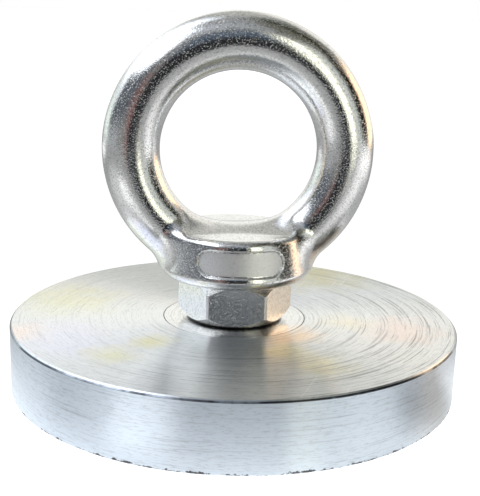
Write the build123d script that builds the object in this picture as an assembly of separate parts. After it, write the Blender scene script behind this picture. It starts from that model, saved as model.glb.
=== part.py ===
from build123d import *
import math
import os

# Pot magnet with a lifting eye: a turned steel cup that holds a ring magnet set in resin, a
# flanged threaded insert in the middle of the cup, a lifting eye screwed into the insert, and
# a hex nut that locks the eye.
# Millimetres. The origin is the centre of the pull face, on the plane of the cup's rim, and
# +Z points up along the thread's axis. The eye's hole runs along Y.

# Steel cup
cup_diameter = 75.0
cup_wall = 4.5
cup_floor = 5.9
cup_top_chamfer = 0.4
cup_rim_chamfer = 0.35
cup_mouth_chamfer = 0.3

# Ring magnet and the resin round it
magnet_thickness = 5.0
magnet_recess = 0.4
magnet_edge_chamfer = 0.5
outer_resin_gap = 2.0
inner_resin_gap = 1.0
resin_drop = 0.25
resin_sag = 0.2

# Threaded insert, put in from the magnet's side so that its flange takes the pull
insert_diameter = 24.0
insert_flange_overhang = 2.5
insert_flange_height = 1.8
insert_sleeve_wall = 2.95
insert_sleeve_recess = 0.5
insert_mouth_chamfer = 0.6
joint_chamfer = 0.14

# Lifting eye: ring, collar and threaded shank in one piece
thread_diameter = 10.0
thread_clearance = 0.05
shank_length = 17.0
shank_end_chamfer = 1.2
relief_depth = 1.0
relief_width = 2.6
collar_diameter = 25.0
collar_height = 7.8
collar_draft = 12.0
collar_top_radius = 1.0
collar_bottom_radius = 1.7
ring_hole_diameter = 25.9
ring_section_diameter = 9.4
ring_crest_rise = 0.1
root_fillet = 2.4
root_edge_gap = 0.1

# Sunken oblong panel on the front of the collar, with a bare floor
panel_length = 13.6
panel_height = 4.0
panel_depth = 0.4
panel_middle_height = 4.2

# Lock nut
nut_across_flats = 16.75
nut_height = 7.65
nut_face_margin = 0.7
nut_chamfer_angle = 45.0
nut_corner_radius = 0.7
nut_countersink = 0.45
nut_turn = -2.0

# Levels and radii that follow from the sizes above
magnet_bottom = magnet_recess
floor_bottom = magnet_bottom + magnet_thickness
flange_top = floor_bottom + insert_flange_height
cup_top = floor_bottom + cup_floor
nut_top = cup_top + nut_height
collar_bottom = nut_top
collar_top = collar_bottom + collar_height
cup_radius = cup_diameter / 2
cavity_radius = cup_radius - cup_wall
insert_radius = insert_diameter / 2
flange_radius = insert_radius + insert_flange_overhang
shank_radius = thread_diameter / 2
bore_radius = shank_radius + thread_clearance
sleeve_radius = bore_radius + insert_sleeve_wall
magnet_radius = cavity_radius - outer_resin_gap
magnet_bore_radius = sleeve_radius + inner_resin_gap
collar_radius = collar_diameter / 2
section_radius = ring_section_diameter / 2
ring_radius = ring_hole_diameter / 2 + section_radius
ring_centre = collar_top + ring_crest_rise + ring_hole_diameter / 2
ring_outer_radius = ring_radius + section_radius
root_bottom = ring_centre - math.sqrt(ring_outer_radius**2 - collar_radius**2)


def turned(*lines):
    """A solid of revolution about Z. The lines are drawn on the XZ plane, as (radius, height)."""
    return revolve(make_face(Plane.XZ * Curve(children=list(lines))), Axis.Z)


def outline(*points):
    return Polyline(*points, close=True)


def steel_cup():
    """The cup: an open cavity below, and a stepped hole through its floor for the insert."""
    return turned(
        outline(
            (insert_radius + joint_chamfer, cup_top),
            (cup_radius - cup_top_chamfer, cup_top),
            (cup_radius, cup_top - cup_top_chamfer),
            (cup_radius, cup_rim_chamfer),
            (cup_radius - cup_rim_chamfer, 0),
            (cavity_radius + cup_mouth_chamfer, 0),
            (cavity_radius, cup_mouth_chamfer),
            (cavity_radius, floor_bottom),
            (flange_radius, floor_bottom),
            (flange_radius, flange_top),
            (insert_radius, flange_top),
            (insert_radius, cup_top - joint_chamfer),
        )
    )


def threaded_insert():
    """The insert: a body flush with the cup's top, a flange in the floor, and a sleeve below."""
    return turned(
        outline(
            (bore_radius + insert_mouth_chamfer, cup_top),
            (insert_radius - joint_chamfer, cup_top),
            (insert_radius, cup_top - joint_chamfer),
            (insert_radius, flange_top),
            (flange_radius, flange_top),
            (flange_radius, floor_bottom),
            (sleeve_radius, floor_bottom),
            (sleeve_radius, insert_sleeve_recess),
            (bore_radius + insert_mouth_chamfer, insert_sleeve_recess),
            (bore_radius, insert_sleeve_recess + insert_mouth_chamfer),
            (bore_radius, cup_top - insert_mouth_chamfer),
        )
    )


def ring_magnet():
    """The magnet, against the cup's floor and the insert's flange."""
    c = magnet_edge_chamfer
    return turned(
        outline(
            (magnet_bore_radius + c, magnet_bottom),
            (magnet_radius - c, magnet_bottom),
            (magnet_radius, magnet_bottom + c),
            (magnet_radius, floor_bottom - c),
            (magnet_radius - c, floor_bottom),
            (magnet_bore_radius + c, floor_bottom),
            (magnet_bore_radius, floor_bottom - c),
            (magnet_bore_radius, magnet_bottom + c),
        )
    )


def resin_ring(inner_radius, outer_radius, magnet):
    """Resin cast into a gap beside the magnet: it laps the magnet's edges, and its face sags."""
    level = magnet_bottom + resin_drop
    inner, outer = (inner_radius, level), (outer_radius, level)
    middle = ((inner_radius + outer_radius) / 2, level + resin_sag)
    face = ThreePointArc(inner, middle, outer)
    walls = Polyline(outer, (outer_radius, floor_bottom), (inner_radius, floor_bottom), inner)
    return turned(face, walls) - magnet


def collar_blank(inset=0):
    """The collar before its edges are rounded: a cone, whose wall can be set inward."""
    lean = math.tan(math.radians(collar_draft))
    wall = collar_radius - inset / math.cos(math.radians(collar_draft))
    lower = wall + collar_bottom_radius * lean
    upper = lower - collar_height * lean
    return turned(
        outline((0, collar_bottom), (lower, collar_bottom), (upper, collar_top), (0, collar_top))
    )


def collar():
    """The eye's collar, with rounded edges. The lower one stays below the root of the ring."""
    blank = collar_blank()
    rims = blank.edges().filter_by(GeomType.CIRCLE).sort_by(Axis.Z)
    blank = fillet(rims[-1], collar_top_radius)
    rims = blank.edges().filter_by(GeomType.CIRCLE).sort_by(Axis.Z)
    room = root_bottom - collar_bottom - root_edge_gap
    return fillet(rims[0], min(collar_bottom_radius, room))


def shank():
    """The eye's threaded shank at its outer diameter, with an undercut below the collar."""
    end = collar_bottom - shank_length
    relief_radius = shank_radius - relief_depth
    relief_bottom = collar_bottom - relief_width
    return turned(
        outline(
            (0, collar_bottom),
            (relief_radius, collar_bottom),
            (relief_radius, relief_bottom + relief_depth),
            (shank_radius, relief_bottom),
            (shank_radius, end + shank_end_chamfer),
            (shank_radius - shank_end_chamfer, end),
            (0, end),
        )
    )


def panel_cutter():
    """What the sunken panel removes: an oblong that keeps one depth round the collar's wall."""
    oblong = Plane.XZ * SlotOverall(panel_length, panel_height)
    prism = Pos(0, 0, collar_bottom + panel_middle_height) * extrude(oblong, collar_diameter)
    return prism - collar_blank(panel_depth)


def lifting_eye():
    """The eye: a round ring that runs into the collar with a fillet all round its root.

    The collar is turned so that its seam lies at the back, clear of the fillet.
    """
    ring = Pos(0, 0, ring_centre) * Rot(90, 0, 0) * Torus(ring_radius, section_radius)
    under_collar = Pos(0, 0, collar_bottom - ring_radius) * Box(
        4 * ring_radius, 4 * ring_radius, 2 * ring_radius
    )
    eye = (ring - under_collar) + Rot(0, 0, 90) * collar()
    root = eye.edges().filter_by(GeomType.BSPLINE)
    return fillet(root, root_fillet) - panel_cutter() + shank()


def lock_nut():
    """The nut: a hex prism within a double cone, with a countersunk bore."""
    hexagon = RegularPolygon(nut_across_flats / 2, 6, major_radius=False)
    prism = extrude(hexagon, nut_height)
    prism = fillet(prism.edges().filter_by(Axis.Z), nut_corner_radius)
    face_radius = nut_across_flats / 2 - nut_face_margin
    reach = nut_across_flats / math.sqrt(3)
    drop = (reach - face_radius) * math.tan(math.radians(nut_chamfer_angle))
    cones = turned(
        outline(
            (0, 0),
            (face_radius, 0),
            (reach, drop),
            (reach, nut_height - drop),
            (face_radius, nut_height),
            (0, nut_height),
        )
    )
    bore = turned(
        outline(
            (0, 0),
            (bore_radius + nut_countersink, 0),
            (bore_radius, nut_countersink),
            (bore_radius, nut_height - nut_countersink),
            (bore_radius + nut_countersink, nut_height),
            (0, nut_height),
        )
    )
    return Pos(0, 0, cup_top) * Rot(0, 0, nut_turn) * ((prism & cones) - bore)


magnet = ring_magnet()
parts = {
    "steel_cup": steel_cup(),
    "threaded_insert": threaded_insert(),
    "ring_magnet": magnet,
    "outer_resin_ring": resin_ring(magnet_radius - magnet_edge_chamfer, cavity_radius, magnet),
    "inner_resin_ring": resin_ring(sleeve_radius, magnet_bore_radius + magnet_edge_chamfer, magnet),
    "lock_nut": lock_nut(),
    "lifting_eye": lifting_eye(),
}

os.makedirs("parts", exist_ok=True)
for name, part in parts.items():
    export_step(part, f"parts/{name}.step")
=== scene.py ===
import math

import bpy
import numpy as np
from mathutils import Matrix, Vector


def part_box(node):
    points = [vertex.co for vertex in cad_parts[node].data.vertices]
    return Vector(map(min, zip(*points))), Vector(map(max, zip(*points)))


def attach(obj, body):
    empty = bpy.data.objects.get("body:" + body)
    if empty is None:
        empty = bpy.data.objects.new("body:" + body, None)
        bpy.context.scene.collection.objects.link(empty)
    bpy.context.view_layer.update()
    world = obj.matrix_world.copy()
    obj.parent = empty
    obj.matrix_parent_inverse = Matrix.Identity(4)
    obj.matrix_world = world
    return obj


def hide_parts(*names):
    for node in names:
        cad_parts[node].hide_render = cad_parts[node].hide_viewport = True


# Finish, fine shapes, camera and light for the pot magnet. Shapes are worked out in millimetres
# in the row's frame, and become Blender meshes in metres.
MM = 0.001

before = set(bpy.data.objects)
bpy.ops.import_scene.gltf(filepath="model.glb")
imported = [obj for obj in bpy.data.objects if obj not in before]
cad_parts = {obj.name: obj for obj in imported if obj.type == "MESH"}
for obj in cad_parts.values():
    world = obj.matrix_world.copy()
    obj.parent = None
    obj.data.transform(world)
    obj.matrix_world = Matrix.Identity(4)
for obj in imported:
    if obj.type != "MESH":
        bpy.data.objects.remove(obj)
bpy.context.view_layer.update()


def box_mm(node):
    """Lowest and highest corner of a node, in millimetres."""
    low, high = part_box(node)
    return low / MM, high / MM


# Sizes read from the frame
_, cup_high = box_mm("steel_cup")
insert_low, insert_high = box_mm("threaded_insert")
magnet_low, magnet_high = box_mm("ring_magnet")
_, resin_high = box_mm("outer_resin_ring")
nut_low, nut_high = box_mm("lock_nut")
eye_low, eye_high = box_mm("lifting_eye")

cup_radius = cup_high.x
cup_top = cup_high.z
floor_bottom = magnet_high.z
cavity_radius = resin_high.x
magnet_radius = magnet_high.x
flange_radius = insert_high.x
ring_outer_radius = eye_high.x
ring_centre = eye_high.z - ring_outer_radius
collar_radius = eye_high.y
collar_bottom = nut_high.z
shank_end = eye_low.z

# Sizes that the boxes don't give, as in the part
insert_radius = 12.0
flange_top = floor_bottom + 1.8
sleeve_radius = 8.0
magnet_bore_radius = 9.0
magnet_edge = 0.5
resin_level = 0.65
resin_sag = 0.2
cup_top_chamfer = 0.4
cup_rim_chamfer = 0.35
cup_mouth_chamfer = 0.3
ring_section_radius = 4.7
ring_radius = ring_outer_radius - ring_section_radius
ring_hole_radius = ring_radius - ring_section_radius
collar_top = ring_centre - ring_hole_radius - 0.1
collar_draft = math.radians(12)
collar_top_radius = 1.0
collar_bottom_radius = 1.7
panel_length = 13.6
panel_height = 4.0
panel_depth = 0.4
panel_middle = collar_bottom + 4.2
thread_radius = 5.0
bore_radius = thread_radius + 0.05
relief_depth = 1.0
relief_width = 2.6
shank_end_chamfer = 1.2
insert_mouth_chamfer = 0.6
nut_across_flats = 16.75
nut_face_radius = nut_across_flats / 2 - 0.7
nut_chamfer = math.radians(45)
nut_corner_radius = 0.7
nut_countersink = 0.45
nut_turn = math.radians(-2)

# Sizes of the finish: gaps and edge roundings too small for the part, and the eye's blend, whose
# ring fades out within the collar
joint_gap = 0.06
joint_edge = 0.03
inner_edge = 0.05
edge = 0.1
turned_edge = 0.15
nut_face_edge = 0.15
nut_wall_edge = 0.18
panel_edge = 0.25
root_radius = 2.6
ring_end = collar_bottom + 1.3
ring_end_fade = 3
# Reach of the nut's painted corner highlight
nut_highlight_radius = 9.49
# Width of the nut's painted crevice shade
crevice_shade_band = 0.25


# Meshes


def new_piece(name, vertices, faces, normals, node, slot, material):
    """A smooth-shaded piece from millimetre points, which stands for a CAD node."""
    mesh = bpy.data.meshes.new(name)
    mesh.from_pydata((np.asarray(vertices) * MM).tolist(), [], np.asarray(faces).tolist())
    mesh.polygons.foreach_set("use_smooth", [True] * len(mesh.polygons))
    mesh.normals_split_custom_set_from_vertices(np.asarray(normals).tolist())
    mesh.materials.append(material)
    piece = bpy.data.objects.new(name, mesh)
    bpy.context.scene.collection.objects.link(piece)
    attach(piece, "root")
    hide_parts(node)
    return piece


def rounded(corners, steps=5):
    """Points and outward normals round a closed outline whose corners are arcs.

    Each corner is (radius, height, rounding). With the radius to the right and the height up,
    the outline runs clockwise, so that its outward side is on its left.
    """
    points, normals = [], []
    count = len(corners)
    for i, (x, y, rounding) in enumerate(corners):
        here = Vector((x, y))
        before = (Vector(corners[i - 1][:2]) - here).normalized()
        after = (Vector(corners[(i + 1) % count][:2]) - here).normalized()
        reach = rounding * math.tan((math.pi - before.angle(after)) / 2)
        start = Vector((before.y, -before.x))
        end = Vector((-after.y, after.x))
        side = 1 if start.dot(after) < 0 else -1
        centre = here + before * reach - start * rounding * side
        for k in range(steps + 1):
            normal = start.slerp(end, k / steps)
            points.append(centre + normal * rounding * side)
            normals.append(normal)
    return np.array(points), np.array(normals)


def grid_faces(rows, columns):
    """Quads of a grid that closes on itself in its columns and its rows, wound outward."""
    i, k = np.meshgrid(np.arange(rows), np.arange(columns), indexing="ij")
    j, m = (i + 1) % rows, (k + 1) % columns
    corners = (j * columns + k, j * columns + m, i * columns + m, i * columns + k)
    return np.stack(corners, -1).reshape(-1, 4)


def lathe(name, corners, node, slot, material, segments=360):
    """A closed solid of revolution about Z, from the corners of its half section."""
    points, normals = rounded(corners)
    turns = np.linspace(0, 2 * math.pi, segments, endpoint=False)
    around = np.stack((np.cos(turns), np.sin(turns), np.zeros(segments)), 1)
    up = np.array((0, 0, 1))
    vertices = points[:, None, :1] * around + points[:, None, 1:] * up
    directions = normals[:, None, :1] * around + normals[:, None, 1:] * up
    faces = grid_faces(len(points), segments)
    return new_piece(
        name, vertices.reshape(-1, 3), faces, directions.reshape(-1, 3), node, slot, material
    )


def ring_distance(p):
    """Distance from the eye's round ring, negative inside."""
    across = np.hypot(p[0], p[2] - ring_centre) - ring_radius
    return np.hypot(across, p[1]) - ring_section_radius


def wall_distance(p):
    """Distance from the collar's wall, which narrows upward."""
    out = np.hypot(p[0], p[1]) - collar_radius
    rise = p[2] - collar_bottom - collar_bottom_radius
    return out * math.cos(collar_draft) + rise * math.sin(collar_draft)


def collar_distance(p):
    """Distance from the eye's collar, with its two edge roundings."""
    lower = round_overlap(wall_distance(p), collar_bottom - p[2], collar_bottom_radius)
    return round_overlap(lower, p[2] - collar_top, collar_top_radius)


def panel_distance(p):
    """Distance from what the sunken panel removes: an oblong that keeps its depth in the wall."""
    half_length = (panel_length - panel_height) / 2
    along = np.maximum(np.abs(p[0]) - half_length, 0)
    oblong = np.hypot(along, p[2] - panel_middle) - panel_height / 2
    return np.maximum(np.maximum(oblong, -panel_depth - wall_distance(p)), p[1])


def round_union(a, b, radius):
    """Two shapes joined with a concave blend."""
    reach = np.hypot(np.maximum(radius - a, 0), np.maximum(radius - b, 0))
    return np.maximum(radius, np.minimum(a, b)) - reach


def round_overlap(a, b, radius):
    """What two shapes share, with the edge between them rounded."""
    reach = np.hypot(np.maximum(radius + a, 0), np.maximum(radius + b, 0))
    return np.minimum(-radius, np.maximum(a, b)) + reach


def eye_distance(p):
    """Distance from the eye's ring and collar in one piece: the ring ends within the collar."""
    below = np.maximum(ring_end - p[2], 0)
    ring = ring_distance(p) + ring_end_fade * below**2
    body = round_union(ring, collar_distance(p), root_radius)
    return round_overlap(body, -panel_distance(p), panel_edge)


def slope(distance, p, step=0.002):
    """Gradient of a distance function at points p."""
    parts = []
    for axis in range(3):
        offset = np.zeros((3, 1))
        offset[axis] = step
        parts.append((distance(p + offset) - distance(p - offset)) / (2 * step))
    return np.array(parts)


def grid_lines(start, *stretches):
    """Grid lines from a start through (end, cell) stretches, each from the end before it."""
    lines = [np.array([start])]
    for end, cell in stretches:
        last = lines[-1][-1]
        lines.append(np.linspace(last, end, max(1, round((end - last) / cell)) + 1)[1:])
    return np.concatenate(lines)


def surface(distance, axes):
    """Points, quads and normals of the surface where a distance function is zero.

    A point is put in each grid cell that the surface crosses, a quad round each grid edge that
    it crosses, and the points then slide along the gradient onto the surface.
    """
    grid = np.array(np.meshgrid(*axes, indexing="ij"))
    value = distance(grid.reshape(3, -1)).reshape(grid.shape[1:])
    inside = value < 0
    cells = tuple(n - 1 for n in value.shape)
    total, crossings = np.zeros((3, *cells)), np.zeros(cells)
    edges = []
    for axis in range(3):
        ahead, behind = [slice(None)] * 3, [slice(None)] * 3
        ahead[axis], behind[axis] = slice(1, None), slice(None, -1)
        ahead, behind = tuple(ahead), tuple(behind)
        near, far = value[behind], value[ahead]
        crossed = inside[behind] != inside[ahead]
        share = np.where(crossed, near / np.where(crossed, near - far, 1), 0)
        along = grid[(slice(None), *behind)].copy()
        along[axis] += share * (grid[axis][ahead] - grid[axis][behind])
        others = [a for a in range(3) if a != axis]
        for step_a in (0, 1):
            for step_b in (0, 1):
                window = [slice(None)] * 3
                for a, step in zip(others, (step_a, step_b)):
                    window[a] = slice(step, step + cells[a])
                window = tuple(window)
                hit = crossed[window]
                total += np.where(hit, along[(slice(None), *window)], 0)
                crossings += hit
        edges.append((crossed, others, inside[behind]))
    used = crossings > 0
    index = np.full(cells, -1)
    index[used] = np.arange(used.sum())
    points = total[:, used] / crossings[used]
    faces = []
    for axis, (crossed, (a, b), starts_inside) in enumerate(edges):
        at = np.array(np.nonzero(crossed))
        corners = []
        for back_a, back_b in ((1, 1), (0, 1), (0, 0), (1, 0)):
            there = at.copy()
            there[a] -= back_a
            there[b] -= back_b
            corners.append(index[tuple(there)])
        quads = np.stack(corners, 1)
        outward = starts_inside[tuple(at)]
        flip = outward if axis == 1 else ~outward
        quads[flip] = quads[flip][:, ::-1]
        faces.append(quads)
    for _ in range(4):
        gradient = slope(distance, points)
        points = points - distance(points) * gradient / (gradient**2).sum(0)
    gradient = slope(distance, points)
    return points.T, np.concatenate(faces), (gradient / np.linalg.norm(gradient, axis=0)).T


def nut_mesh():
    """Points, quads and normals of the nut: rounded hexagon walls within a double cone."""
    corner_distance = (nut_across_flats / 2 - nut_corner_radius) / math.cos(math.radians(30))
    walls = []
    for side in range(6):
        corner = nut_turn + math.radians(60 * side)
        middle = corner_distance * np.array((math.cos(corner), math.sin(corner)))
        for turn in np.radians(np.linspace(-30, 30, 9)):
            outward = np.array((math.cos(corner + turn), math.sin(corner + turn)))
            walls.append((middle + nut_corner_radius * outward, outward))
        start, outward = walls[-1]
        ahead = corner + math.radians(60)
        end = corner_distance * np.array((math.cos(ahead), math.sin(ahead)))
        end = end + nut_corner_radius * outward
        for share in np.linspace(0, 1, 22)[1:-1]:
            walls.append((start + (end - start) * share, outward))
    vertices, normals = [], []
    cone_lean = math.sin(nut_chamfer)
    for point, outward in walls:
        reach = np.linalg.norm(point)
        radial = np.append(point / reach, 0)
        drop = (reach - nut_face_radius) * math.tan(nut_chamfer)
        corners = (
            (bore_radius + nut_countersink, nut_high.z, edge),
            (nut_face_radius, nut_high.z, nut_face_edge),
            (reach, nut_high.z - drop, nut_wall_edge),
            (reach, nut_low.z + drop, nut_wall_edge),
            (nut_face_radius, nut_low.z, nut_face_edge),
            (bore_radius + nut_countersink, nut_low.z, edge),
            (bore_radius, nut_low.z + nut_countersink, edge),
            (bore_radius, nut_high.z - nut_countersink, edge),
        )
        places, leans = rounded(corners)
        share = np.clip((leans[:, :1] - cone_lean) / (1 - cone_lean), 0, 1)
        across = radial + (np.append(outward, 0) - radial) * share
        across /= np.linalg.norm(across, axis=1)[:, None]
        up = np.array((0, 0, 1))
        vertices.append(places[:, :1] * radial + places[:, 1:] * up)
        normals.append(leans[:, :1] * across + leans[:, 1:] * up)
    vertices = np.array(vertices).transpose(1, 0, 2)
    normals = np.array(normals).transpose(1, 0, 2)
    faces = grid_faces(vertices.shape[0], vertices.shape[1])
    return vertices.reshape(-1, 3), faces, normals.reshape(-1, 3)


# Materials


class Graph:
    """Short calls for building a node tree."""

    def __init__(self, tree):
        self.tree = tree

    def add(self, kind, **settings):
        node = self.tree.nodes.new("ShaderNode" + kind)
        for name, value in settings.items():
            setattr(node, name, value)
        return node

    def put(self, value, socket):
        """A number, a colour or another node's output into a socket."""
        if isinstance(value, bpy.types.NodeSocket):
            self.tree.links.new(value, socket)
        elif value is not None:
            socket.default_value = value

    def math(self, operation, *values):
        node = self.add("Math", operation=operation)
        for value, socket in zip(values, node.inputs):
            self.put(value, socket)
        return node.outputs[0]

    def vector(self, operation, *values):
        node = self.add("VectorMath", operation=operation)
        for value, socket in zip(values, node.inputs):
            self.put(value, socket)
        return node.outputs[0]

    def join(self, x, y, z):
        node = self.add("CombineXYZ")
        for value, socket in zip((x, y, z), node.inputs):
            self.put(value, socket)
        return node.outputs[0]

    def split(self, vector):
        node = self.add("SeparateXYZ")
        self.put(vector, node.inputs[0])
        return node.outputs

    def between(self, value, low, high, start=0.0, end=1.0):
        """A smooth step from start to end as the value goes from low to high."""
        node = self.add("MapRange", interpolation_type="SMOOTHSTEP")
        for item, socket in zip((value, low, high, start, end), node.inputs):
            self.put(item, socket)
        return node.outputs[0]

    def noise(self, place, scale, detail=2.0, roughness=0.5):
        node = self.add("TexNoise")
        self.put(place, node.inputs["Vector"])
        self.put(scale, node.inputs["Scale"])
        self.put(detail, node.inputs["Detail"])
        self.put(roughness, node.inputs["Roughness"])
        return node.outputs["Fac"]

    def blend(self, share, first, second):
        """A colour between two colours."""
        node = self.add("Mix", data_type="RGBA")
        self.put(share, node.inputs["Factor"])
        for value, name in ((first, "A_Color"), (second, "B_Color")):
            socket = next(s for s in node.inputs if s.identifier == name)
            self.put(value if not isinstance(value, tuple) else (*value, 1.0), socket)
        return next(s for s in node.outputs if s.identifier == "Result_Color")

    def place(self):
        """The point on the object, in millimetres in the row's frame."""
        node = self.add("TexCoord")
        return self.vector("MULTIPLY", node.outputs["Object"], (1 / MM, 1 / MM, 1 / MM))


def metal(name, colour, roughness, anisotropic=0.0):
    """A metal and its graph, shader and mapped place."""
    material = bpy.data.materials.new(name)
    material.use_nodes = True
    graph = Graph(material.node_tree)
    shader = material.node_tree.nodes["Principled BSDF"]
    shader.inputs["Base Color"].default_value = (*colour, 1.0)
    shader.inputs["Metallic"].default_value = 1.0
    shader.inputs["Roughness"].default_value = roughness
    shader.inputs["Anisotropic"].default_value = anisotropic
    return material, graph, shader, graph.place()


def bump(graph, shader, height, distance):
    """Height in the range 0 to 1 as relief, with its full depth in millimetres."""
    node = graph.add("Bump")
    graph.put(height, node.inputs["Height"])
    node.inputs["Distance"].default_value = distance * MM
    graph.put(node.outputs["Normal"], shader.inputs["Normal"])


def length(graph, a, b):
    """Length of the hypotenuse over two lengths."""
    squares = graph.math("ADD", graph.math("MULTIPLY", a, a), graph.math("MULTIPLY", b, b))
    return graph.math("SQRT", squares)


def polar(graph, place):
    """Distance from the thread's axis, and height, of a place."""
    x, y, z = graph.split(place)
    return length(graph, x, y), z


def panel_mask(graph, place):
    """1 on the floor of the collar's panel and 0 elsewhere on the eye."""
    x, y, z = graph.split(place)
    half_length = (panel_length - panel_height) / 2
    along = graph.math("SUBTRACT", graph.math("ABSOLUTE", x), half_length)
    along = graph.math("MAXIMUM", along, 0.0)
    up = graph.math("SUBTRACT", z, panel_middle)
    oblong = graph.math("SUBTRACT", length(graph, along, up), panel_height / 2)
    inside = graph.between(oblong, -panel_edge - 0.1, -0.05, 1.0, 0.0)
    in_front = graph.between(y, -6.0, -5.0, 1.0, 0.0)
    return graph.math("MULTIPLY", inside, in_front)


def cast_steel():
    """Cast stainless, tumbled and polished: a sandy grain, soft waves and round polishing marks."""
    material, graph, shader, place = metal("polished_cast_steel", (0.8, 0.8, 0.79), 0.12)
    sandy_and_lit = panel_mask(graph, place)

    # Relief: the grain and small pits of the casting, waves, and marks that run round the ring
    grain = graph.noise(place, 3.6, 2.0, 0.8)
    waves = graph.noise(place, 0.4, 1.0, 0.4)
    x, y, z = graph.split(place)
    from_centre = length(graph, x, graph.math("SUBTRACT", z, ring_centre))
    streaks = graph.noise(graph.join(from_centre, y, 0.0), 2.2, 2.0, 0.6)
    pits = graph.between(graph.noise(place, 4.5, 1.0, 0.5), 0.6, 0.7)
    relief = graph.math("MULTIPLY_ADD", grain, 0.22, graph.math("MULTIPLY", waves, 0.2))
    relief = graph.math("MULTIPLY_ADD", streaks, 0.1, relief)
    relief = graph.math("MULTIPLY_ADD", pits, 0.14, relief)
    bump(graph, shader, relief, 0.1)

    patches = graph.noise(place, 0.3, 2.0, 0.6)
    roughness = graph.between(patches, 0.3, 0.7, 0.04, 0.09)
    roughness = graph.math("MULTIPLY_ADD", sandy_and_lit, 0.45, roughness)
    graph.put(roughness, shader.inputs["Roughness"])

    specks = graph.between(graph.noise(place, 3.2, 2.0, 0.7), 0.5, 0.72)
    colour = graph.blend(specks, (0.84, 0.84, 0.83), (0.52, 0.52, 0.51))
    # Painted light: the panel's floor, matt and sandy, is painted lighter
    colour = graph.blend(graph.math("MULTIPLY", sandy_and_lit, 0.6), colour, (0.97, 0.97, 0.96))
    graph.put(colour, shader.inputs["Base Color"])
    return material


def formed_steel():
    """Cold formed stainless for the nut: satin, with a fine speckled grain."""
    material, graph, shader, place = metal("satin_formed_steel", (0.72, 0.72, 0.71), 0.22)
    radius, z = polar(graph, place)
    grain = graph.noise(place, 3.6, 2.0, 0.8)
    pits = graph.between(graph.noise(place, 6.5, 1.0, 0.5), 0.61, 0.68)
    bump(graph, shader, graph.math("MULTIPLY_ADD", pits, 1.2, grain), 0.03)

    # Painted highlight: the corners are painted white, and made matt
    edge_weight = graph.between(radius, nut_highlight_radius, nut_highlight_radius + 0.04)
    roughness = graph.between(grain, 0.35, 0.65, 0.06, 0.13)
    graph.put(graph.math("MULTIPLY_ADD", edge_weight, 0.5, roughness), shader.inputs["Roughness"])
    specks = graph.between(graph.noise(place, 3.0, 2.0, 0.8), 0.45, 0.7)
    colour = graph.blend(specks, (0.98, 0.98, 0.97), (0.6, 0.6, 0.59))
    colour = graph.blend(edge_weight, colour, (1.0, 1.0, 1.0))

    # Painted shade: near-black colour in the crevices where the nut meets the insert and the collar
    low = graph.between(z, nut_low.z + crevice_shade_band, nut_low.z + 2 * crevice_shade_band, 1.0, 0.0)
    high = graph.between(z, nut_high.z - 2 * crevice_shade_band, nut_high.z - crevice_shade_band)
    colour = graph.blend(graph.math("MAXIMUM", low, high), colour, (0.03, 0.03, 0.03))
    graph.put(colour, shader.inputs["Base Color"])
    return material


def scratches(graph, place, angle):
    """Thin straight scratches in one direction, as a mask."""
    rotate = graph.add("VectorRotate")
    graph.put(place, rotate.inputs["Vector"])
    rotate.inputs["Angle"].default_value = math.radians(angle)
    stretched = graph.vector("MULTIPLY", rotate.outputs[0], (3.5, 0.05, 0.5))
    return graph.between(graph.noise(stretched, 1.0, 2.0, 0.6), 0.66, 0.74)


# Yellowish, reddish and bluish painted reflections on the cup's top: place, reach, colour
top_painted_reflections = (
    ((-29, 8), 14, (0.83, 0.83, 0.64)),
    ((-27, -12), 15, (0.82, 0.83, 0.93)),
    ((-35, -9), 6, (0.94, 0.84, 0.8)),
    ((-14, -14), 5, (0.82, 0.8, 0.56)),
    ((-20, -20), 6, (0.84, 0.83, 0.62)),
    ((18, 27), 17, (0.72, 0.68, 0.45)),
    ((27, -8), 11, (0.9, 0.78, 0.72)),
    ((19, -4), 7, (0.88, 0.83, 0.7)),
    ((9, -11), 7, (1.0, 0.8, 0.6)),
    ((7, -18), 6, (0.98, 0.94, 0.7)),
    ((11, -24), 8, (0.88, 0.84, 0.64)),
)


def soft_patch(graph, place, x, y, reach):
    """A soft patch round a point of the cup's top, as a mask."""
    away = graph.add("VectorMath", operation="DISTANCE")
    graph.put(place, away.inputs[0])
    away.inputs[1].default_value = (x, y, cup_top)
    uneven = graph.noise(place, 0.2, 2.0, 0.6)
    off = graph.math("MULTIPLY_ADD", uneven, reach, away.outputs["Value"])
    return graph.between(off, 0.5 * reach, 1.5 * reach, 1.0, 0.0)


def top_edge_line(graph, place):
    """The dark line along the chamfer of the cup's top, stronger in some stretches, as a mask."""
    _, _, z = graph.split(place)
    above = graph.between(z, cup_top - 0.5, cup_top - 0.4)
    below = graph.between(z, cup_top - 0.24, cup_top - 0.14, 1.0, 0.0)
    edge_weight = graph.between(graph.noise(place, 0.15, 3.0, 0.7), 0.35, 0.55, 0.45, 0.95)
    return graph.math("MULTIPLY", graph.math("MULTIPLY", above, below), edge_weight)


def chips(graph, place):
    """Small dark chips along the lower edge of the cup's wall, as a mask."""
    radius, z = polar(graph, place)
    low = graph.between(z, 0.2, 1.6, 1.0, 0.0)
    on_wall = graph.between(radius, cup_radius - 0.5, cup_radius - 0.2)
    low = graph.math("MULTIPLY", low, on_wall)
    nicks = graph.math("MULTIPLY", graph.noise(place, 0.8, 3.0, 0.7), low)
    return graph.between(nicks, 0.46, 0.54)


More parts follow.
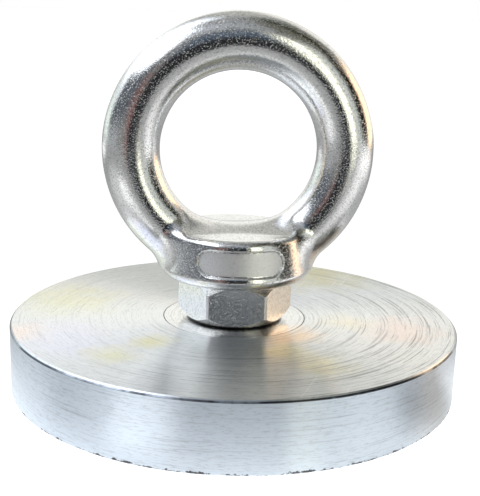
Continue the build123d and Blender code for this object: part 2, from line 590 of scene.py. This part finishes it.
def turned_steel(name, side_reflection_colour, top_colour, roughness, grooves):
    """Zinc plated steel over turning marks, whose grooves stretch its highlights across them."""
    material, graph, shader, place = metal(name, top_colour, roughness, 0.96)
    shader.inputs["Anisotropic Rotation"].default_value = 0.25
    tangent = graph.add("Tangent", direction_type="RADIAL", axis="Z")
    graph.put(tangent.outputs[0], shader.inputs["Tangent"])
    x, y, _ = graph.split(place)
    radius, z = polar(graph, place)
    on_top = graph.between(z, cup_top - 0.2, cup_top - 0.02)
    toward_right = graph.math("MULTIPLY_ADD", y, -0.3, x)

    def marks_round_axis(closeness, scale, detail, rough):
        """Noise that changes quickly across the turning marks and slowly along them."""
        across = graph.math("MULTIPLY", graph.math("ADD", radius, z), closeness)
        return graph.noise(graph.join(x, y, across), scale, detail, rough)

    # Relief: fine broken dashes, even turning lines, and coarse arcs on the right of the top
    dashes = marks_round_axis(6.0, 0.8, 3.0, 0.75)
    fine = marks_round_axis(60.0, 0.06, 3.0, 0.8)
    arcs = marks_round_axis(50.0, 0.045, 2.0, 0.7)
    coarse = graph.math("MULTIPLY", graph.between(toward_right, 10.0, 26.0), on_top)
    relief = graph.math("MULTIPLY_ADD", fine, 0.9, dashes)
    relief = graph.math("MULTIPLY_ADD", graph.math("MULTIPLY", arcs, coarse), 1.2, relief)
    bump(graph, shader, relief, grooves)

    # Colour: painted coloured reflections on the top, then the marks, each darker than the metal
    tint = top_colour
    for spot, reach, colour in top_painted_reflections:
        tint = graph.blend(soft_patch(graph, place, *spot, reach), tint, colour)
    # The walls take the bluish painted reflection colour, the top its own
    tint = graph.blend(on_top, side_reflection_colour, tint)
    tint = graph.blend(graph.between(dashes, 0.5, 0.66, 0.0, 0.36), tint, (0.36, 0.38, 0.4))
    top_strength = graph.between(toward_right, -20.0, 8.0, 0.3, 0.65)
    strength = graph.between(on_top, 0.0, 1.0, 0.36, top_strength)
    lines = graph.math("MULTIPLY", graph.between(fine, 0.5, 0.7), strength)
    tint = graph.blend(lines, tint, (0.24, 0.25, 0.26))
    grooved = graph.math("MULTIPLY", graph.between(arcs, 0.57, 0.63, 0.0, 0.55), coarse)
    tint = graph.blend(grooved, tint, (0.16, 0.16, 0.16))

    # Wear: light scratches on the top and dark chips on the wall's lower edge; also a dark line
    # along the top's chamfer
    marks = graph.math("MAXIMUM", scratches(graph, place, 25), scratches(graph, place, 115))
    marks = graph.math("MAXIMUM", marks, scratches(graph, place, 70))
    marks = graph.math("MULTIPLY", marks, on_top)
    tint = graph.blend(graph.math("MULTIPLY", marks, 0.7), tint, (0.97, 0.97, 0.97))
    tint = graph.blend(top_edge_line(graph, place), tint, (0.05, 0.05, 0.06))
    tint = graph.blend(chips(graph, place), tint, (0.1, 0.1, 0.11))
    graph.put(tint, shader.inputs["Base Color"])
    return material


def plated_magnet():
    """Nickel plated magnet."""
    material, graph, shader, place = metal("nickel_plating", (0.55, 0.52, 0.47), 0.25)
    bump(graph, shader, graph.noise(place, 1.5, 3.0), 0.02)
    return material


def cast_resin():
    """Black epoxy resin with a slight gloss and small bubbles."""
    material, graph, shader, place = metal("black_epoxy", (0.012, 0.012, 0.014), 0.3)
    shader.inputs["Metallic"].default_value = 0.0
    bump(graph, shader, graph.noise(place, 1.2, 3.0), 0.08)
    return material


eye_steel = cast_steel()
nut_steel = formed_steel()
# Painted reflection: the walls are painted bluish for the bluish light they reflect, unlike the top
side_reflection_colour = (0.74, 0.82, 0.9)
cup_steel = turned_steel("turned_zinc_plated_steel", side_reflection_colour, (0.82, 0.84, 0.84), 0.29, 0.014)
insert_steel = turned_steel("finely_turned_steel", side_reflection_colour, (0.84, 0.84, 0.82), 0.2, 0.004)
magnet_plating = plated_magnet()
resin = cast_resin()


# Pieces

# Grid lines for the eye in millimetres, closer in front and below, where the panel and root are
eye_side = 22.6
eye_front = 12.9
panel_back = 8.0
fine_cell = 0.22
eye_grid = (
    grid_lines(-eye_side, (eye_side, 0.34)),
    grid_lines(-eye_front, (-panel_back, fine_cell), (eye_front, 0.36)),
    grid_lines(collar_bottom - 0.3, (collar_top + 1.3, fine_cell), (eye_high.z + 0.3, 0.38)),
)
new_piece(
    "eye_ring_and_collar", *surface(eye_distance, eye_grid), "lifting_eye", "eye_steel", eye_steel
)
new_piece("hex_lock_nut", *nut_mesh(), "lock_nut", "nut_steel", nut_steel)

# The shank starts inside the collar
shank_axis = 0.01
shank_start = collar_bottom + 0.5
relief_bottom = collar_bottom - relief_width
lathe(
    "eye_shank",
    (
        (shank_axis, shank_start, 0),
        (thread_radius - relief_depth, shank_start, 0),
        (thread_radius - relief_depth, relief_bottom + relief_depth, 0.2),
        (thread_radius, relief_bottom, edge),
        (thread_radius, shank_end + shank_end_chamfer, edge),
        (thread_radius - shank_end_chamfer, shank_end, edge),
        (shank_axis, shank_end, 0),
    ),
    "lifting_eye",
    "eye_steel",
    nut_steel,
)
lathe(
    "turned_cup",
    (
        (insert_radius + joint_gap, cup_top, joint_edge),
        (cup_radius - cup_top_chamfer, cup_top, turned_edge),
        (cup_radius, cup_top - cup_top_chamfer, turned_edge),
        (cup_radius, cup_rim_chamfer, edge),
        (cup_radius - cup_rim_chamfer, 0, edge),
        (cavity_radius + cup_mouth_chamfer, 0, edge),
        (cavity_radius, cup_mouth_chamfer, edge),
        (cavity_radius, floor_bottom, inner_edge),
        (flange_radius, floor_bottom, inner_edge),
        (flange_radius, flange_top, inner_edge),
        (insert_radius + joint_gap, flange_top, joint_edge),
    ),
    "steel_cup",
    "cup_steel",
    cup_steel,
)
lathe(
    "flanged_insert",
    (
        (bore_radius + insert_mouth_chamfer, cup_top, inner_edge),
        (insert_radius - joint_gap, cup_top, joint_edge),
        (insert_radius - joint_gap, flange_top, joint_edge),
        (flange_radius, flange_top, inner_edge),
        (flange_radius, floor_bottom, inner_edge),
        (sleeve_radius, floor_bottom, inner_edge),
        (sleeve_radius, insert_low.z, edge),
        (bore_radius + insert_mouth_chamfer, insert_low.z, edge),
        (bore_radius, insert_low.z + insert_mouth_chamfer, edge),
        (bore_radius, cup_top - insert_mouth_chamfer, edge),
    ),
    "threaded_insert",
    "insert_steel",
    insert_steel,
)
lathe(
    "plated_ring_magnet",
    (
        (magnet_bore_radius, magnet_low.z, magnet_edge),
        (magnet_bore_radius, floor_bottom, magnet_edge),
        (magnet_radius, floor_bottom, magnet_edge),
        (magnet_radius, magnet_low.z, magnet_edge),
    ),
    "ring_magnet",
    "magnet_plating",
    magnet_plating,
)


def resin_ring(name, inner, outer, node):
    """Resin between two walls, with a face that sags in the middle."""
    middle = (inner + outer) / 2
    corners = (
        (inner, floor_bottom, inner_edge),
        (outer, floor_bottom, inner_edge),
        (outer, resin_level, inner_edge),
        (middle, resin_level + resin_sag, 1.0),
        (inner, resin_level, inner_edge),
    )
    return lathe(name, corners, node, "resin", resin)


resin_ring("outer_epoxy", magnet_radius, cavity_radius, "outer_resin_ring")
resin_ring("inner_epoxy", sleeve_radius, magnet_bore_radius, "inner_resin_ring")


# Camera. The rig looks along +Y before it is turned about Z by the angle at which the eye stands
# to the photo.
rig_turn = math.radians(-4.6)
camera_aside = 0.05
camera_distance = 162.67
camera_height = 63.8
camera_pan = math.radians(-0.22)
camera_pitch = math.radians(-14.03)
camera_roll = math.radians(1.72)
focal_pixels = 995.7
image_height = 496
sensor_height = 36.0

lens = bpy.data.cameras.new("camera")
lens.sensor_fit = "VERTICAL"
lens.sensor_height = sensor_height
lens.lens = sensor_height * focal_pixels / image_height
lens.clip_start = 0.01
lens.clip_end = 20
camera = bpy.data.objects.new("camera", lens)
turn = Matrix.Rotation(rig_turn, 4, "Z")
camera.matrix_world = (
    turn
    @ Matrix.Translation((camera_aside * MM, -camera_distance * MM, camera_height * MM))
    @ Matrix.Rotation(camera_pan, 4, "Z")
    @ Matrix.Rotation(math.pi / 2 + camera_pitch, 4, "X")
    @ Matrix.Rotation(camera_roll, 4, "Z")
)
bpy.context.scene.collection.objects.link(camera)
bpy.context.scene.camera = camera


# Studio: a white floor for the camera, and a pale table and a dark card that the metal reflects


def stage_piece(name, corners, colour):
    """A flat four-sided piece of the studio, from corners in millimetres, and its shader."""
    mesh = bpy.data.meshes.new(name)
    points = [tuple(value * MM for value in corner) for corner in corners]
    mesh.from_pydata(points, [], [(0, 1, 2, 3)])
    paint = bpy.data.materials.new(name)
    paint.use_nodes = True
    shader = paint.node_tree.nodes["Principled BSDF"]
    shader.inputs["Base Color"].default_value = (*colour, 1)
    shader.inputs["Roughness"].default_value = 0.9
    shader.inputs["Specular IOR Level"].default_value = 0.1
    shader.inputs["Emission Color"].default_value = (1, 1, 1, 1)
    mesh.materials.append(paint)
    piece = bpy.data.objects.new(name, mesh)
    bpy.context.scene.collection.objects.link(piece)
    return piece, Graph(paint.node_tree), shader


def level(low, high):
    """Corners of a level rectangle just under the cup."""
    around = (low, (high[0], low[1]), high, (low[0], high[1]))
    return [(x, y, -0.1) for x, y in around]


grey = (0.5, 0.5, 0.5)
floor, _, floor_shader = stage_piece("floor", level((-4000, -4000), (4000, 4000)), grey)
floor_shader.inputs["Emission Strength"].default_value = 0.9
floor.visible_glossy = False
floor.visible_diffuse = False

table, table_graph, table_shader = stage_piece("table", level((-450, -230), (450, 450)), grey)
table_place = table_graph.place()
away = table_graph.add("VectorMath", operation="LENGTH")
table_graph.put(table_place, away.inputs[0])
glow = table_graph.between(away.outputs["Value"], 30.0, 160.0, 0.2, 0.06)
# Brighter and darker areas of the table: place, reach and strength
gleams = (
    ((0, 0), 64, 0.95),
    ((0, -52), 26, 0.12),
    ((-28, -46), 15, 0.8),
    ((31, -44), 18, 0.3),
    ((50, -2), 14, 0.2),
    ((-44, -28), 12, -0.15),
    ((44, -21), 17, -0.45),
    ((-72, -62), 44, 0.6),
    ((-105, -20), 70, 0.25),
    ((-240, 200), 130, 0.9),
    ((88, -60), 60, 0.5),
    ((270, -30), 200, 1.0),
)
for spot, reach, strength in gleams:
    beside = table_graph.add("VectorMath", operation="DISTANCE")
    table_graph.put(table_place, beside.inputs[0])
    beside.inputs[1].default_value = (*spot, 0)
    gleam = table_graph.between(beside.outputs["Value"], 0.4 * reach, reach, strength, 0.0)
    glow = table_graph.math("MAXIMUM", table_graph.math("ADD", glow, gleam), 0.02)
table_graph.put(glow, table_shader.inputs["Emission Strength"])
table.visible_camera = False
table.visible_shadow = False

card_distance = 172.0
card_corners = [(-50, 0, 0), (78, 0, 0), (78, 0, 190), (-50, 0, 190)]
card, card_graph, card_shader = stage_piece("dark_card", card_corners, (0, 0, 0))
card.matrix_world = turn @ Matrix.Translation((0, -card_distance * MM, 0))
card_up = card_graph.split(card_graph.place())[2]
card_height = card_graph.between(card_up, 85.0, 130.0)
card_colour = card_graph.blend(card_height, (0.03, 0.032, 0.035), (0.1, 0.13, 0.18))
card_graph.put(card_colour, card_shader.inputs["Emission Color"])
card_shader.inputs["Emission Strength"].default_value = 1.0
card_shader.inputs["Specular IOR Level"].default_value = 0.0
card.visible_camera = False
card.visible_diffuse = False
card.visible_shadow = False


# Studio light: soft panels round the object, drawn on the world by their bearing from the camera
# (degrees, to the camera's right) and their height above the horizon (degrees).
world = bpy.data.worlds.new("studio")
bpy.context.scene.world = world
world.use_nodes = True
studio = Graph(world.node_tree)
toward = studio.add("TexCoord").outputs["Generated"]
side, depth, rise = studio.split(toward)
bearing = studio.math("ARCTAN2", side, studio.math("MULTIPLY", depth, -1.0))
bearing = studio.math("SUBTRACT", studio.math("DEGREES", bearing), math.degrees(rig_turn))
height = studio.math("DEGREES", studio.math("ARCSINE", rise))
aim = studio.join(bearing, height, 0.0)


def panel(light, bearings, heights, colour, softness):
    """The light with one more panel painted over it, between two bearings and two heights.

    Its edges fade over as many degrees as the softness gives.
    """
    middle = ((bearings[0] + bearings[1]) / 2, (heights[0] + heights[1]) / 2, 0)
    half = ((bearings[1] - bearings[0]) / 2, (heights[1] - heights[0]) / 2)
    off = studio.vector("SUBTRACT", aim, middle)
    off = studio.vector("WRAP", off, (180, 180, 1), (-180, -180, -1))
    off = studio.vector("ABSOLUTE", off)
    fade = tuple(size / softness + 0.5 for size in half)
    off = studio.vector("MULTIPLY_ADD", off, (-1 / softness, -1 / softness, 0), (*fade, 0))
    across, along, _ = studio.split(off)
    node = studio.add("Mix", data_type="VECTOR")
    studio.put(studio.math("MINIMUM", across, along), node.inputs["Factor"])
    studio.put(light, next(s for s in node.inputs if s.identifier == "A_Vector"))
    studio.put(colour, next(s for s in node.inputs if s.identifier == "B_Vector"))
    return next(s for s in node.outputs if s.identifier == "Result_Vector")


# The room's own light, and each panel's bearings, heights, colour and softness
room = (0.27, 0.275, 0.27)
panels = {
    "ceiling": ((-181, 181), (75, 100), (0.32, 0.33, 0.34), 12),
    "upper_right": ((20, 130), (40, 76), (0.15, 0.15, 0.12), 12),
    "dark_beam": ((85, 150), (62, 80), (0.1, 0.11, 0.09), 10),
    "upper_back": ((150, 200), (28, 75), (0.5, 0.5, 0.47), 16),
    "upper_front": ((-12, 35), (42, 75), (0.36, 0.38, 0.4), 14),
    "low_left": ((-185, -55), (-20, 4), (0.45, 0.47, 0.5), 8),
    "low_right": ((20, 120), (-20, 0), (0.6, 0.6, 0.54), 8),
    "left_wall": ((-110, -25), (3, 30), (0.12, 0.135, 0.155), 8),
    "window_far": ((-152, -98), (18, 74), (1.42, 1.5, 1.65), 12),
    "window": ((-115, -32), (33, 66), (2.4, 2.5, 2.7), 8),
    "window_end": ((-45, -8), (50, 72), (0.5, 0.52, 0.58), 14),
    "left_lamp": ((-138, -104), (-7, 16), (1.0, 1.1, 1.05), 12),
    "camera_side": ((-10, 15), (-14, 40), (0.045, 0.056, 0.055), 10),
    "red_low": ((-20, -8), (-14, 4), (0.24, 0.1, 0.09), 6),
    "red_high": ((-31, -19), (2, 17), (0.24, 0.1, 0.09), 6),
    "right_window": ((20, 45), (-8, 36), (1.8, 1.8, 1.5), 6),
    "right_wall": ((43, 72), (-8, 42), (0.62, 0.65, 0.62), 8),
    "right_shade": ((68, 94), (-2, 40), (0.04, 0.045, 0.04), 8),
    "right_post": ((84, 100), (-2, 76), (0.01, 0.01, 0.008), 6),
    "back_wall": ((148, 212), (1, 30), (1.08, 1.08, 1.04), 10),
    "peach_window": ((103, 138), (-12, 28), (2.1, 1.5, 0.98), 7),
    "back_window": ((133, 172), (-14, 45), (1.0, 0.98, 0.92), 8),
}
light = room
for panel_values in panels.values():
    light = panel(light, *panel_values)

seen = studio.add("Background")
seen.inputs["Color"].default_value = (1, 1, 1, 1)
reflected = world.node_tree.nodes["Background"]
studio.put(light, reflected.inputs["Color"])
choice = studio.add("MixShader")
studio.put(studio.add("LightPath").outputs["Is Camera Ray"], choice.inputs[0])
studio.put(reflected.outputs[0], choice.inputs[1])
studio.put(seen.outputs[0], choice.inputs[2])
studio.put(choice.outputs[0], world.node_tree.nodes["World Output"].inputs["Surface"])

bpy.context.scene.view_settings.view_transform = "Standard"
